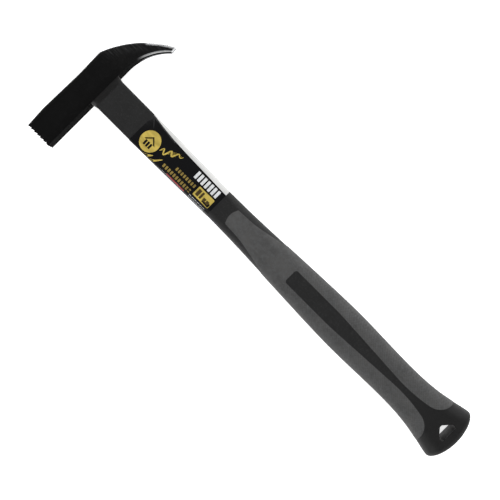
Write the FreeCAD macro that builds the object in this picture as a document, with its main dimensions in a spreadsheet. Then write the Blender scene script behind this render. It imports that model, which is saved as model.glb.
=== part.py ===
"""Claw hammer with a forged head, fibreglass core, moulded jacket, soft grip and wrapped label.

The hammer lies on its side. +X runs along the handle from the head to the butt, +Y is the claw's
side, -Y the striking face's side and +Z the thickness. Every piece is drawn about the centre of the
eye, where the handle's axis crosses the head, and is then placed so that the origin lies under the
middle of the whole hammer, on the surface that it rests on.
"""
import FreeCAD, Part
import math
import os
import Sketcher
from collections import namedtuple
from FreeCAD import Vector

SIZES = [
    # Forged head: height runs along the handle, width through the thickness.
    ("head_height", 21.0),
    ("head_width", 21.0),
    ("head_chamfer", 0.9),
    ("face_reach", 55.1),
    ("face_taper", 0.9),
    ("face_taper_length", 16.0),
    ("head_waist", 0.9),
    ("head_waist_offset", 5.0),
    ("shoulder_reach", 15.8),
    ("shoulder_drop", 0.3),
    ("tooth_count", 7.0),
    ("tooth_depth", 1.8),
    ("tooth_land", 0.4),
    # Claw: it leaves the head at the shoulder and bends towards the handle.
    ("claw_tip_reach", 56.1),
    ("claw_tip_drop", 24.0),
    ("claw_tip_height", 4.2),
    ("claw_tip_width", 11.5),
    ("claw_taper_radius", 80.0),
    ("claw_back_radius", 75.0),
    ("claw_under_reach", 21.0),
    ("claw_under_radius", 41.5),
    ("slot_length", 25.0),
    ("slot_root_width", 2.4),
    ("slot_mouth_width", 4.6),
    # Hardness-test dimple in the cheek, measured from the face and from the lower edge.
    ("dimple_back", 11.9),
    ("dimple_rise", 1.9),
    ("dimple_diameter", 1.0),
    ("dimple_depth", 0.4),
    # Fibreglass core and the resin that holds it in the eye.
    ("core_width", 14.6),
    ("core_depth", 10.6),
    ("core_radius", 2.6),
    ("core_recess", 0.4),
    ("core_end_gap", 12.0),
    ("bond_gap", 1.2),
    ("bead_length", 3.8),
    ("bead_flare", 1.5),
    ("bead_proud", 0.3),
    # Jacket's square neck block and the length that the label covers.
    ("neck_length", 32.6),
    ("neck_width", 25.0),
    ("neck_depth", 18.0),
    ("neck_radius", 1.4),
    ("label_length", 75.0),
    ("label_thickness", 0.25),
    # Hang hole: wide across the handle, and drawn in to a blunt point towards the head.
    ("hole_setback", 12.0),
    ("hole_length", 8.3),
    ("hole_width", 13.7),
    ("hole_point_width", 1.8),
    ("hole_point_radius", 1.0),
    ("hole_shoulder_span", 5.2),
    ("hole_shoulder_radius", 3.0),
    ("hole_butt_radius", 1.5),
    # Butt end, a shallow arc with a rounded rim, trimmed a little short of the last section.
    ("end_trim", 1.5),
    ("end_arc_radius", 40.0),
    ("end_fillet", 3.2),
    # Soft grip, moulded round the jacket.
    ("grip_wall", 2.2),
    ("grip_proud", 0.25),
    ("tongue_setback", 10.6),
    ("tongue_crown", 2.7),
    ("tongue_tip_width", 13.2),
    ("tongue_tip_radius", 1.4),
    ("tongue_neck_span", 15.4),
    ("tongue_neck_width", 14.6),
    ("tongue_neck_radius", 60.0),
    ("tongue_flare_span", 26.6),
    ("tongue_flare_width", 25.2),
    ("tongue_flare_corner", 1.5),
    ("strip_setback", 70.9),
    ("strip_width", 11.4),
    ("strip_corner", 2.0),
    ("strip_straight", 43.6),
    ("strip_shoulder_radius", 150.0),
    ("strip_waist_width", 3.2),
    ("strip_waist_radius", 120.0),
    ("strip_flare_span", 26.4),
    ("strip_end_setback", 20.4),
    ("strip_flare_width", 12.4),
    ("strip_flare_radius", 13.0),
]

# Handle sections from the label's end to the butt: span from the one before, width, depth, corner.
STATIONS = [
    ("collar", None, 23.1, 20.0, 5.0),
    ("tongue", 18.0, 23.5, 20.5, 6.0),
    ("shoulder", 34.0, 26.0, 22.6, 8.0),
    ("swell", 42.0, 29.7, 25.6, 9.4),
    ("belly", 32.0, 31.3, 27.0, 10.0),
    ("waist", 45.0, 29.3, 24.8, 9.4),
    ("rise", 28.0, 31.7, 25.6, 9.6),
    ("flare", 14.0, 36.5, 27.0, 10.0),
    ("butt", 13.0, 42.3, 28.0, 10.0),
    ("end", 9.3, 43.2, 27.0, 9.6),
]

Corner = namedtuple("Corner", "x y round bend side", defaults=(None, None, 0))

HEAD_HALF = "Sizes.head_height / 2"
CHEEK = "Sizes.head_width / 2"
NECK_START = "Sizes.head_height / 2 + Sizes.bead_length"
LABEL_START = f"{NECK_START} + Sizes.neck_length"
COLLAR_START = f"{LABEL_START} + Sizes.label_length"


def station_positions():
    """Distance of each handle section from the eye's centre, as an expression on the sheet."""
    positions = {}
    position = COLLAR_START
    for name, span, *_ in STATIONS:
        if span is not None:
            position = f"{position} + Sizes.{name}_span"
        positions[name] = position
    return positions


POSITION = station_positions()
HANDLE_END = f"{POSITION['end']} - Sizes.end_trim"
HOLE_CENTRE = f"{HANDLE_END} - Sizes.hole_setback"
CORE_END = f"{HOLE_CENTRE} - Sizes.hole_length / 2 - Sizes.core_end_gap"
TONGUE_START = f"{COLLAR_START} + Sizes.tongue_setback"
STRIP_START = f"{COLLAR_START} + Sizes.strip_setback"


def make_sheet(doc):
    """Put every driving size in the sheet, as a plain number with a named cell."""
    sheet = doc.addObject("Spreadsheet::Sheet", "Sizes")
    rows = list(SIZES)
    for name, span, width, depth, radius in STATIONS:
        if span is not None:
            rows.append((f"{name}_span", span))
        rows += [(f"{name}_width", width), (f"{name}_depth", depth), (f"{name}_radius", radius)]
    for row, (alias, value) in enumerate(rows, 1):
        sheet.set(f"A{row}", alias)
        sheet.set(f"B{row}", str(value))
        sheet.setAlias(f"B{row}", alias)
    doc.recompute()
    return sheet


class Drawing:
    """Sketches and features of one document, bound to its sheet of sizes."""

    def __init__(self, doc, sheet):
        self.doc = doc
        self.sheet = sheet

    def number(self, text):
        """Value of an expression on the sheet."""
        return float(self.sheet.evalExpression(text))

    def body(self, label):
        """New body, placed so that the hammer rests centred over the origin."""
        body = self.doc.addObject("PartDesign::Body", label)
        body.Label = label
        body.setExpression("Placement.Base.x", f"-(({HANDLE_END}) - {HEAD_HALF}) / 2")
        body.setExpression("Placement.Base.y", "(Sizes.face_reach - Sizes.claw_tip_reach) / 2")
        body.setExpression("Placement.Base.z", "Sizes.butt_depth / 2")
        return body

    def sketch(self, body, name, role, offset="0"):
        """Sketch on one of the body's origin planes, moved along the plane's normal."""
        plane = next(item for item in body.Origin.OriginFeatures if item.Role == role)
        sketch = body.newObject("Sketcher::SketchObject", name)
        sketch.AttachmentSupport = [(plane, "")]
        sketch.MapMode = "FlatFace"
        if offset != "0":
            sketch.setExpression("AttachmentOffset.Base.z", offset)
        return sketch

    def bind(self, sketch, constraint, text):
        """Add a sizing constraint whose value follows an expression."""
        index = sketch.addConstraint(Sketcher.Constraint(*constraint, self.number(text)))
        sketch.setExpression(f"Constraints[{index}]", text)

    def fix_point(self, sketch, geometry, position, x, y):
        """Tie a point's two coordinates to expressions; "0" puts it on the axis."""
        for kind, axis, text in (("DistanceX", -2, x), ("DistanceY", -1, y)):
            if text == "0":
                sketch.addConstraint(Sketcher.Constraint("PointOnObject", geometry, position, axis))
            else:
                self.bind(sketch, (kind, -1, 1, geometry, position), text)

    def outline(self, sketch, corners):
        """Closed outline through corners: straight or bent edges, and rounded corners between
        straight ones. A bend is an arc of that radius, its centre on the left (side 1) or right."""
        points = [Vector(self.number(c.x), self.number(c.y), 0) for c in corners]
        rounds = [corner_round(points, i, c.round and self.number(c.round))
                  for i, c in enumerate(corners)]
        edges = [self.add_edge(sketch, corners[i], rounds[i].leave,
                               rounds[(i + 1) % len(corners)].enter)
                 for i in range(len(corners))]
        for i, corner in enumerate(corners):
            before, after = edges[i - 1], edges[i]
            if corner.round is None:
                sketch.addConstraint(Sketcher.Constraint(
                    "Coincident", before.index, before.last, after.index, after.first))
                self.fix_point(sketch, after.index, after.first, corner.x, corner.y)
            else:
                self.add_round(sketch, corner, points[i], rounds[i], before, after)

    def add_edge(self, sketch, corner, start, end):
        """Line from start to end, or an arc where the corner gives a bend."""
        if corner.bend is None:
            return Edge(sketch.addGeometry(Part.LineSegment(start, end)), 1, 2)
        radius = self.number(corner.bend)
        chord = end - start
        normal = Vector(-chord.y, chord.x, 0).normalize() * corner.side
        rise = math.sqrt(radius ** 2 - (chord.Length / 2) ** 2)
        centre = (start + end) / 2 + normal * rise
        index = sketch.addGeometry(arc_between(centre, radius, start, end, corner.side))
        self.bind(sketch, ("Radius", index), corner.bend)
        return Edge(index, 1, 2) if corner.side > 0 else Edge(index, 2, 1)

    def add_round(self, sketch, corner, point, turn, before, after):
        """Tangent arc at a corner, which stays in the sketch as a construction point."""
        radius = self.number(corner.round)
        index = sketch.addGeometry(arc_between(turn.centre, radius, turn.enter, turn.leave, turn.side))
        first, last = (1, 2) if turn.side > 0 else (2, 1)
        apex = sketch.addGeometry(Part.Point(point), True)
        self.fix_point(sketch, apex, 1, corner.x, corner.y)
        for constraint in (("PointOnObject", apex, 1, before.index),
                           ("PointOnObject", apex, 1, after.index),
                           ("Tangent", before.index, before.last, index, first),
                           ("Tangent", index, last, after.index, after.first)):
            sketch.addConstraint(Sketcher.Constraint(*constraint))
        self.bind(sketch, ("Radius", index), corner.round)

    def section(self, body, name, position, width, depth, radius, grow="0"):
        """Rounded rectangle across the handle: width along Y, depth along Z."""
        sketch = self.sketch(body, name, "YZ_Plane", position)
        half_width = f"({width}) / 2 + {grow}" if grow != "0" else f"({width}) / 2"
        half_depth = f"({depth}) / 2 + {grow}" if grow != "0" else f"({depth}) / 2"
        corner = f"{radius} + {grow}" if grow != "0" else radius
        signs = (("", ""), ("-", ""), ("-", "-"), ("", "-"))
        self.outline(sketch, [Corner(f"{a}({half_width})", f"{b}({half_depth})", corner)
                              for a, b in signs])
        return sketch

    def pad(self, body, sketch, length, symmetric=False):
        """Pad along the sketch's normal, or to both sides of it."""
        pad = body.newObject("PartDesign::Pad", f"{sketch.Name}_pad")
        pad.Profile = sketch
        pad.SideType = "Symmetric" if symmetric else "One side"
        pad.setExpression("Length", length)
        self.doc.recompute()
        return pad

    def pocket(self, body, sketch, symmetric=True, length=None):
        """Cut through everything, or to a depth, and check that the cut removed material."""
        before = body.Shape.Volume
        pocket = body.newObject("PartDesign::Pocket", f"{sketch.Name}_pocket")
        pocket.Profile = sketch
        pocket.SideType = "Symmetric" if symmetric else "One side"
        pocket.Type = "Length" if length else "ThroughAll"
        if length:
            pocket.setExpression("Length", length)
        self.doc.recompute()
        check_cut(body, before, pocket.Name)
        return pocket

    def loft(self, body, sections, ruled=False, cut=False):
        """Join sections into a solid, or take that solid away."""
        before = body.Shape.Volume if cut else 0.0
        kind = "PartDesign::SubtractiveLoft" if cut else "PartDesign::AdditiveLoft"
        loft = body.newObject(kind, f"{sections[0].Name}_loft")
        loft.Profile = (sections[0], [""])
        loft.Sections = [(section, [""]) for section in sections[1:]]
        loft.Ruled = ruled
        self.doc.recompute()
        if cut:
            check_cut(body, before, loft.Name)
        return loft

    def dress(self, body, kind, name, edges, size, text):
        """Chamfer or fillet edges of the body as it stands."""
        base = body.Tip
        before = body.Shape.Volume
        feature = body.newObject(kind, name)
        feature.Base = (base, edges)
        feature.setExpression(size, text)
        self.doc.recompute()
        check_cut(body, before, name)
        return feature

    def repeat(self, body, feature, sketch, axis, length, count):
        """Row of copies of a feature along a sketch axis, evenly over a length."""
        before = body.Shape.Volume
        pattern = body.newObject("PartDesign::LinearPattern", f"{feature.Name}_row")
        pattern.Originals = [feature]
        pattern.Direction = (sketch, [axis])
        pattern.setExpression("Length", length)
        pattern.setExpression("Occurrences", count)
        body.Tip = pattern
        self.doc.recompute()
        check_cut(body, before, pattern.Name)
        return pattern


Edge = namedtuple("Edge", "index first last")
Round = namedtuple("Round", "enter leave centre side", defaults=(None, 0))


def corner_round(points, index, radius):
    """Where a rounded corner's arc starts, ends and is centred."""
    point = points[index]
    if not radius:
        return Round(point, point)
    back = (points[index - 1] - point).normalize()
    ahead = (points[(index + 1) % len(points)] - point).normalize()
    half = back.getAngle(ahead) / 2
    run = radius / math.tan(half)
    centre = point + (back + ahead).normalize() * (radius / math.sin(half))
    side = 1 if ahead.cross(back).z > 0 else -1
    return Round(point + back * run, point + ahead * run, centre, side)


def arc_between(centre, radius, start, end, side):
    """Arc from start to end, anticlockwise for side 1; a clockwise one is stored end first."""
    first, last = (start, end) if side > 0 else (end, start)
    angles = [math.atan2(p.y - centre.y, p.x - centre.x) for p in (first, last)]
    if angles[1] < angles[0]:
        angles[1] += 2 * math.pi
    circle = Part.Circle(centre, Vector(0, 0, 1), radius)
    return Part.ArcOfCircle(circle, *angles)


def check_cut(body, before, name):
    """A cut that removes nothing points the wrong way."""
    if not body.Shape.Volume < before - 1e-4:
        raise RuntimeError(f"{name} removed no material")


def cheek_rims(shape):
    """Names of the edges where the head's cheeks meet its top, the claw's back and its tip."""
    def normal(face):
        u0, u1, v0, v1 = face.ParameterRange
        return face.normalAt((u0 + u1) / 2, (v0 + v1) / 2)

    cheeks = [face for face in shape.Faces if abs(normal(face).z) > 0.7]
    walls = [face for face in shape.Faces
             if abs(normal(face).z) <= 0.7 and normal(face).x < 0.5 and normal(face).y > -0.7]
    return [f"Edge{n}" for n, edge in enumerate(shape.Edges, 1)
            if any(edge.isSame(e) for face in cheeks for e in face.Edges)
            and any(edge.isSame(e) for face in walls for e in face.Edges)]


def build_head(draw):
    """Forged head: square striking end, eye and two-pronged claw."""
    body = draw.body("hammer_head")
    draw.pad(body, head_profile(draw, body), "Sizes.head_width", symmetric=True)
    draw.pocket(body, claw_taper(draw, body))
    draw.dress(body, "PartDesign::Chamfer", "head_rims", cheek_rims(body.Tip.Shape),
               "Size", "Sizes.head_chamfer")
    draw.pocket(body, nail_slot(draw, body))
    eye = draw.section(body, "eye", "0", "Sizes.core_width", "Sizes.core_depth",
                       "Sizes.core_radius", "Sizes.bond_gap")
    draw.pocket(body, eye)
    cut_teeth(draw, body)
    cut_dimple(draw, body)
    return body


def head_profile(draw, body):
    """Side outline of the forging, with the face at -Y and the claw's tip at +Y."""
    sketch = draw.sketch(body, "head_profile", "XY_Plane")
    top = f"-({HEAD_HALF})"
    tip_low = "Sizes.claw_tip_reach - Sizes.claw_tip_height"
    draw.outline(sketch, [
        Corner(HEAD_HALF, "-Sizes.face_reach"),
        Corner(HEAD_HALF, "Sizes.claw_under_reach", bend="Sizes.claw_under_radius", side=-1),
        Corner("Sizes.claw_tip_drop + 0.3", tip_low),
        Corner("Sizes.claw_tip_drop", "Sizes.claw_tip_reach", bend="Sizes.claw_back_radius", side=1),
        Corner(f"{top} + Sizes.shoulder_drop", "Sizes.shoulder_reach"),
        Corner(f"{top} + Sizes.head_waist", "-Sizes.head_waist_offset", "200"),
        Corner(top, "-(Sizes.face_reach - Sizes.face_taper_length)", "60"),
        Corner(f"{top} + Sizes.face_taper", "-Sizes.face_reach"),
    ])
    return sketch


def claw_taper(draw, body):
    """Wedges beside the claw, which take it from the head's width to the tip's."""
    sketch = draw.sketch(body, "claw_taper", "YZ_Plane")
    start = "Sizes.shoulder_reach - 10"
    beyond = "Sizes.claw_tip_reach + 1"
    for sign in ("", "-"):
        outer = f"{sign}({CHEEK} + 2)"
        draw.outline(sketch, [
            Corner(start, f"{sign}({CHEEK})"),
            Corner("Sizes.shoulder_reach", f"{sign}({CHEEK})", "Sizes.claw_taper_radius"),
            Corner(beyond, f"{sign}(Sizes.claw_tip_width / 2)"),
            Corner(beyond, outer),
            Corner(start, outer),
        ])
    return sketch


def nail_slot(draw, body):
    """Tapering slot that parts the claw into two prongs."""
    sketch = draw.sketch(body, "nail_slot", "YZ_Plane")
    root = "Sizes.claw_tip_reach - Sizes.slot_length"
    beyond = "Sizes.claw_tip_reach + 2"
    root_round = "Sizes.slot_root_width * 0.45"
    draw.outline(sketch, [
        Corner(root, "-Sizes.slot_root_width / 2", root_round),
        Corner(beyond, "-Sizes.slot_mouth_width / 2"),
        Corner(beyond, "Sizes.slot_mouth_width / 2"),
        Corner(root, "Sizes.slot_root_width / 2", root_round),
    ])
    return sketch


def cut_teeth(draw, body):
    """Square teeth on the face, from two crossing rows of V grooves."""
    grooves = "Sizes.tooth_count - 1"
    for name, role, side in (("teeth_across", "XY_Plane", "head_height"),
                             ("teeth_down", "YZ_Plane", "head_width")):
        pitch = f"Sizes.{side} / Sizes.tooth_count"
        first = f"-(Sizes.{side} / 2) + {pitch}"
        half = f"({pitch} - Sizes.tooth_land) / 2"
        sketch = draw.sketch(body, name, role)
        along = [f"({first}) - ({half}) * 2", f"({first}) + ({half}) * 2", first]
        depth = ["-(Sizes.face_reach + Sizes.tooth_depth)"] * 2 + ["-(Sizes.face_reach - Sizes.tooth_depth)"]
        pairs = zip(along, depth) if role == "XY_Plane" else zip(depth, along)
        draw.outline(sketch, [Corner(x, y) for x, y in pairs])
        groove = draw.pocket(body, sketch)
        axis = "H_Axis" if role == "XY_Plane" else "V_Axis"
        draw.repeat(body, groove, sketch, axis, f"({pitch}) * (Sizes.tooth_count - 2)", grooves)


def cut_dimple(draw, body):
    """Small round dimple that the hardness test leaves in the cheek."""
    sketch = draw.sketch(body, "dimple", "XY_Plane", CHEEK)
    x = f"{HEAD_HALF} - Sizes.dimple_rise"
    y = "-(Sizes.face_reach - Sizes.dimple_back)"
    centre = Vector(draw.number(x), draw.number(y), 0)
    radius = draw.number("Sizes.dimple_diameter / 2")
    circle = sketch.addGeometry(Part.Circle(centre, Vector(0, 0, 1), radius))
    draw.fix_point(sketch, circle, 3, x, y)
    draw.bind(sketch, ("Diameter", circle), "Sizes.dimple_diameter")
    draw.pocket(body, sketch, symmetric=False, length="Sizes.dimple_depth")


def core_section(draw, body, name, position):
    """Section of the fibreglass core."""
    return draw.section(body, name, position, "Sizes.core_width", "Sizes.core_depth", "Sizes.core_radius")


CORE_TOP = f"-({HEAD_HALF}) + Sizes.head_waist + Sizes.core_recess"


def build_core(draw):
    """Fibreglass bar from the top of the eye to just short of the hang hole."""
    body = draw.body("fiberglass_core")
    draw.pad(body, core_section(draw, body, "core_bar", CORE_TOP), f"({CORE_END}) - ({CORE_TOP})")
    return body


def build_adhesive(draw):
    """Resin that fills the eye round the core, with the bead squeezed out under the head."""
    body = draw.body("eye_adhesive")
    liner = draw.section(body, "eye_fill", CORE_TOP, "Sizes.core_width", "Sizes.core_depth",
                         "Sizes.core_radius", "Sizes.bond_gap")
    draw.pad(body, liner, f"{HEAD_HALF} - ({CORE_TOP})")
    flare = [draw.section(body, "bead_top", HEAD_HALF, "Sizes.neck_width", "Sizes.neck_depth",
                          "Sizes.neck_radius", "Sizes.bead_flare"),
             draw.section(body, "bead_bottom", NECK_START, "Sizes.neck_width", "Sizes.neck_depth",
                          "Sizes.neck_radius", "Sizes.bead_proud")]
    draw.loft(body, flare, ruled=True)
    draw.pocket(body, core_section(draw, body, "core_way", "0"))
    return body


def neck_section(draw, body, name, position, grow="0"):
    """Section of the jacket's square neck."""
    return draw.section(body, name, position, "Sizes.neck_width", "Sizes.neck_depth",
                        "Sizes.neck_radius", grow)


def station_section(draw, body, station, prefix, grow="0"):
    """Section of the handle at one of its stations."""
    width, depth, radius = (f"Sizes.{station}_{part}" for part in ("width", "depth", "radius"))
    return draw.section(body, f"{prefix}_{station}", POSITION[station], width, depth, radius, grow)


def handle_loft(draw, body, prefix, grow="0", cut=False):
    """Smooth handle from the collar to the butt, grown or shrunk all round."""
    sections = [station_section(draw, body, station[0], prefix, grow) for station in STATIONS]
    return draw.loft(body, sections, cut=cut)


def build_jacket_form(draw):
    """Whole outside of the hard jacket, before the grip's recess is taken out of it."""
    body = draw.body("jacket_form")
    draw.pad(body, neck_section(draw, body, "neck_block", NECK_START), "Sizes.neck_length")
    shaft = [neck_section(draw, body, "shaft_start", LABEL_START),
             station_section(draw, body, "collar", "shaft")]
    draw.loft(body, shaft, ruled=True)
    handle_loft(draw, body, "form")
    draw.pocket(body, end_outline(draw, body))
    round_end(draw, body)
    draw.pocket(body, hang_hole(draw, body))
    draw.pocket(body, core_section(draw, body, "core_channel", CORE_END), symmetric=False)
    return body


def end_outline(draw, body):
    """Region past the butt's end, whose edge is an arc with its crown at the handle's end."""
    sketch = draw.sketch(body, "end_outline", "XY_Plane")
    side = "Sizes.butt_width / 2 + 4"
    far = f"{HANDLE_END} + 6"
    rise = f"sqrt(Sizes.end_arc_radius ^ 2 - ({side}) ^ 2)"
    near = f"{HANDLE_END} - Sizes.end_arc_radius + {rise}"
    draw.outline(sketch, [
        Corner(near, f"-({side})", bend="Sizes.end_arc_radius", side=1),
        Corner(near, side),
        Corner(far, side),
        Corner(far, f"-({side})"),
    ])
    return sketch


def round_end(draw, body):
    """Round the rim of the butt's end."""
    end = max(body.Shape.Faces, key=lambda face: face.CenterOfMass.x)
    rim = [f"Edge{n}" for n, edge in enumerate(body.Shape.Edges, 1)
           if any(edge.isSame(e) for e in end.Edges)]
    draw.dress(body, "PartDesign::Fillet", "end_rim", rim, "Radius", "Sizes.end_fillet")


def hang_hole(draw, body):
    """Hole through the butt: straight on the butt's side, with flanks that close towards the head."""
    sketch = draw.sketch(body, "hang_hole", "XY_Plane")
    head = f"{HOLE_CENTRE} - Sizes.hole_length / 2"
    flank = [(head, "Sizes.hole_point_width / 2", "Sizes.hole_point_radius"),
             (f"{head} + Sizes.hole_shoulder_span", "Sizes.hole_width / 2", "Sizes.hole_shoulder_radius"),
             (f"{head} + Sizes.hole_length", "Sizes.hole_width / 2", "Sizes.hole_butt_radius")]
    lower = [Corner(x, f"-{y}", r) for x, y, r in flank]
    upper = [Corner(x, y, r) for x, y, r in reversed(flank)]
    draw.outline(sketch, lower + upper)
    return sketch


def build_grip(draw):
    """Soft grip: a sleeve with a tongue towards the head and a tapering window on each side."""
    body = draw.body("soft_grip")
    handle_loft(draw, body, "grip_outer", "Sizes.grip_proud")
    handle_loft(draw, body, "grip_inner", "-Sizes.grip_wall", cut=True)
    draw.pocket(body, tongue_cut(draw, body))
    draw.pocket(body, strip_cut(draw, body))
    return body


def tongue_cut(draw, body):
    """Region outside the tongue, from the collar to where the grip takes the full width."""
    sketch = draw.sketch(body, "tongue_cut", "XY_Plane")
    near = f"{COLLAR_START} - 5"
    side = "Sizes.belly_width / 2 + 6"
    tip = f"{TONGUE_START} + Sizes.tongue_crown"
    neck = f"{tip} + Sizes.tongue_neck_span"
    far = f"{neck} + Sizes.tongue_flare_span"
    flank = [(far, side, None),
             (far, "Sizes.tongue_flare_width / 2", "Sizes.tongue_flare_corner"),
             (neck, "Sizes.tongue_neck_width / 2", "Sizes.tongue_neck_radius"),
             (tip, "Sizes.tongue_tip_width / 2", "Sizes.tongue_tip_radius")]
    upper = [Corner(x, y, r) for x, y, r in flank]
    lower = [Corner(x, f"-({y})", r) for x, y, r in reversed(flank)]
    crown = [Corner(TONGUE_START, "0", "Sizes.tongue_tip_width * 0.8")]
    draw.outline(sketch, [Corner(near, f"-({side})"), Corner(near, side)] + upper + crown + lower)
    return sketch


def strip_cut(draw, body):
    """Window for the hard strip, which narrows and then flares to the butt's full width."""
    sketch = draw.sketch(body, "strip_cut", "XY_Plane")
    side = "Sizes.butt_width / 2 + 6"
    straight = f"{STRIP_START} + Sizes.strip_straight"
    flare = f"{HANDLE_END} - Sizes.strip_end_setback"
    waist = f"{flare} - Sizes.strip_flare_span"
    far = f"{HANDLE_END} + 10"
    edge = [(STRIP_START, "Sizes.strip_width / 2", "Sizes.strip_corner"),
            (straight, "Sizes.strip_width / 2", "Sizes.strip_shoulder_radius"),
            (waist, "Sizes.strip_waist_width / 2", "Sizes.strip_waist_radius"),
            (flare, "Sizes.strip_flare_width / 2", "Sizes.strip_flare_radius"),
            (flare, side, None), (far, side, None)]
    upper = [Corner(x, y, r) for x, y, r in edge]
    lower = [Corner(x, f"-({y})", r) for x, y, r in reversed(edge)]
    draw.outline(sketch, upper + lower)
    return sketch


def build_label(draw):
    """Printed film wrapped once round the jacket between the neck block and the collar."""
    body = draw.body("label_wrap")
    for name, grow, cut in (("film", "Sizes.label_thickness", False), ("shaft", "0", True)):
        pair = [neck_section(draw, body, f"{name}_start", LABEL_START, grow),
                station_section(draw, body, "collar", name, grow)]
        draw.loft(body, pair, ruled=True, cut=cut)
    return body


def build_jacket(draw, form, grip):
    """Hard jacket: its whole form less the space that the soft grip fills."""
    jacket = draw.doc.addObject("Part::Cut", "handle_jacket")
    jacket.Label = "handle_jacket"
    jacket.Base = form
    jacket.Tool = grip
    draw.doc.recompute()
    return jacket


def check_document(doc, pieces):
    """Stop if a feature failed or a piece has no valid solid."""
    for item in doc.Objects:
        if "Invalid" in item.State or "Error" in item.State:
            raise RuntimeError(f"{item.Label}: {item.State}")
    for piece in pieces:
        shape = piece.Shape
        if shape.isNull() or not shape.isValid() or not shape.Solids:
            raise RuntimeError(f"{piece.Label} has no valid solid")
        box = shape.BoundBox
        print(f"{piece.Label}: {len(shape.Solids)} solid, {shape.Volume:.0f} mm3, "
              f"x {box.XMin:.1f} {box.XMax:.1f} y {box.YMin:.1f} {box.YMax:.1f} "
              f"z {box.ZMin:.1f} {box.ZMax:.1f}")


def main():
    """Build every piece and write each one's shape."""
    doc = FreeCAD.newDocument("roofing_hammer")
    draw = Drawing(doc, make_sheet(doc))
    grip = build_grip(draw)
    pieces = [build_head(draw), build_core(draw), build_adhesive(draw),
              build_jacket(draw, build_jacket_form(draw), grip), grip, build_label(draw)]
    doc.recompute()
    check_document(doc, pieces)
    os.makedirs("parts", exist_ok=True)
    for piece in pieces:
        piece.Shape.exportStep(f"parts/{piece.Label}.step")


main()
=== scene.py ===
"""Claw hammer with a black forged head, a wrapped label and a soft grip, lying on its side."""
import logging
import math
from dataclasses import dataclass
from enum import Enum
from typing import Any, Optional, Sequence, Union

import bmesh
import bpy
import numpy as np
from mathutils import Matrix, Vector, noise


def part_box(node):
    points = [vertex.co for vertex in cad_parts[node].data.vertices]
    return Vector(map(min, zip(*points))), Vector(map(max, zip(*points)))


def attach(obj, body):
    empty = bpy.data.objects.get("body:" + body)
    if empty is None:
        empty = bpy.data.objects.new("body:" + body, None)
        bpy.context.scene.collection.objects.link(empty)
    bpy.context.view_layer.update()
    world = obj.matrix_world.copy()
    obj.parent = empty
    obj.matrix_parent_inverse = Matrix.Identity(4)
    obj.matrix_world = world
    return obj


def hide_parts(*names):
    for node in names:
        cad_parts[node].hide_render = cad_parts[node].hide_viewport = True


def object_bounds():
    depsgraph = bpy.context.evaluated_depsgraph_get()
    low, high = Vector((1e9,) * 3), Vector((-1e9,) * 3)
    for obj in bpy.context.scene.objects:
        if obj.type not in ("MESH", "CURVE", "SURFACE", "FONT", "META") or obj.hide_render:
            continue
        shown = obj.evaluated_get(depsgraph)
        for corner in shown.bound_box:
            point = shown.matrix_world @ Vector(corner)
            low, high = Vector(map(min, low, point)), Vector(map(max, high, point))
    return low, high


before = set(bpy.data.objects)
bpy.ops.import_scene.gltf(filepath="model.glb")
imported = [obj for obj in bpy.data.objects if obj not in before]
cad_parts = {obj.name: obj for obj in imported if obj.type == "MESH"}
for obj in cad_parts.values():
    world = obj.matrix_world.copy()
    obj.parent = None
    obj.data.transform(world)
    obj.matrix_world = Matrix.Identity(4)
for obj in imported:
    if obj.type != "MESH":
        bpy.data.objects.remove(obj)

CAD_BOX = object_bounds()
MM = 0.001
BODY = "root"
LOG = logging.getLogger("hammer")

Number = Union[float, int]
Point2 = tuple[float, float]


# ---------------------------------------------------------------- shader expressions


class Channel:
    """A number in a shader, which can be used in ordinary arithmetic."""

    def __init__(self, graph: "Graph", socket: bpy.types.NodeSocket) -> None:
        """Wrap an output socket.

        Args:
            graph: The graph that the socket belongs to.
            socket: An output that carries a number.
        """
        self.graph = graph
        self.socket = socket

    def _math(self, operation: str, *others: Any) -> "Channel":
        """Add one Math node.

        Args:
            operation: The node's operation.
            others: The operands after this one.

        Returns:
            The node's result.
        """
        values = {index: value for index, value in enumerate((self,) + others)}
        return self.graph.number("ShaderNodeMath", {"operation": operation}, values)

    def __add__(self, other: Any) -> "Channel":
        """Sum."""
        return self._math("ADD", other)

    __radd__ = __add__

    def __sub__(self, other: Any) -> "Channel":
        """Difference."""
        return self._math("SUBTRACT", other)

    def __rsub__(self, other: Number) -> "Channel":
        """Difference from a plain number."""
        return (self * -1.0) + other

    def __mul__(self, other: Any) -> "Channel":
        """Product."""
        return self._math("MULTIPLY", other)

    __rmul__ = __mul__

    def __pow__(self, other: Any) -> "Channel":
        """Power."""
        return self._math("POWER", other)

    def absolute(self) -> "Channel":
        """Size without the sign."""
        return self._math("ABSOLUTE")

    def root(self) -> "Channel":
        """Square root."""
        return self._math("SQRT")

    def sine(self) -> "Channel":
        """Sine of an angle in radians."""
        return self._math("SINE")

    def at_least(self, other: Any) -> "Channel":
        """The larger of the two."""
        return self._math("MAXIMUM", other)

    def rise(self, low: Number, high: Number) -> "Channel":
        """Smooth step.

        Args:
            low: Where the step leaves 0.
            high: Where it reaches 1.

        Returns:
            0 below low, 1 above high and a smooth ramp between; reversed where low is the larger.
        """
        settings = {"interpolation_type": "SMOOTHSTEP", "clamp": True}
        if low <= high:
            return self.graph.number("ShaderNodeMapRange", settings,
                                     {"Value": self, "From Min": low, "From Max": high})
        return 1.0 - self.rise(high, low)


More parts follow.
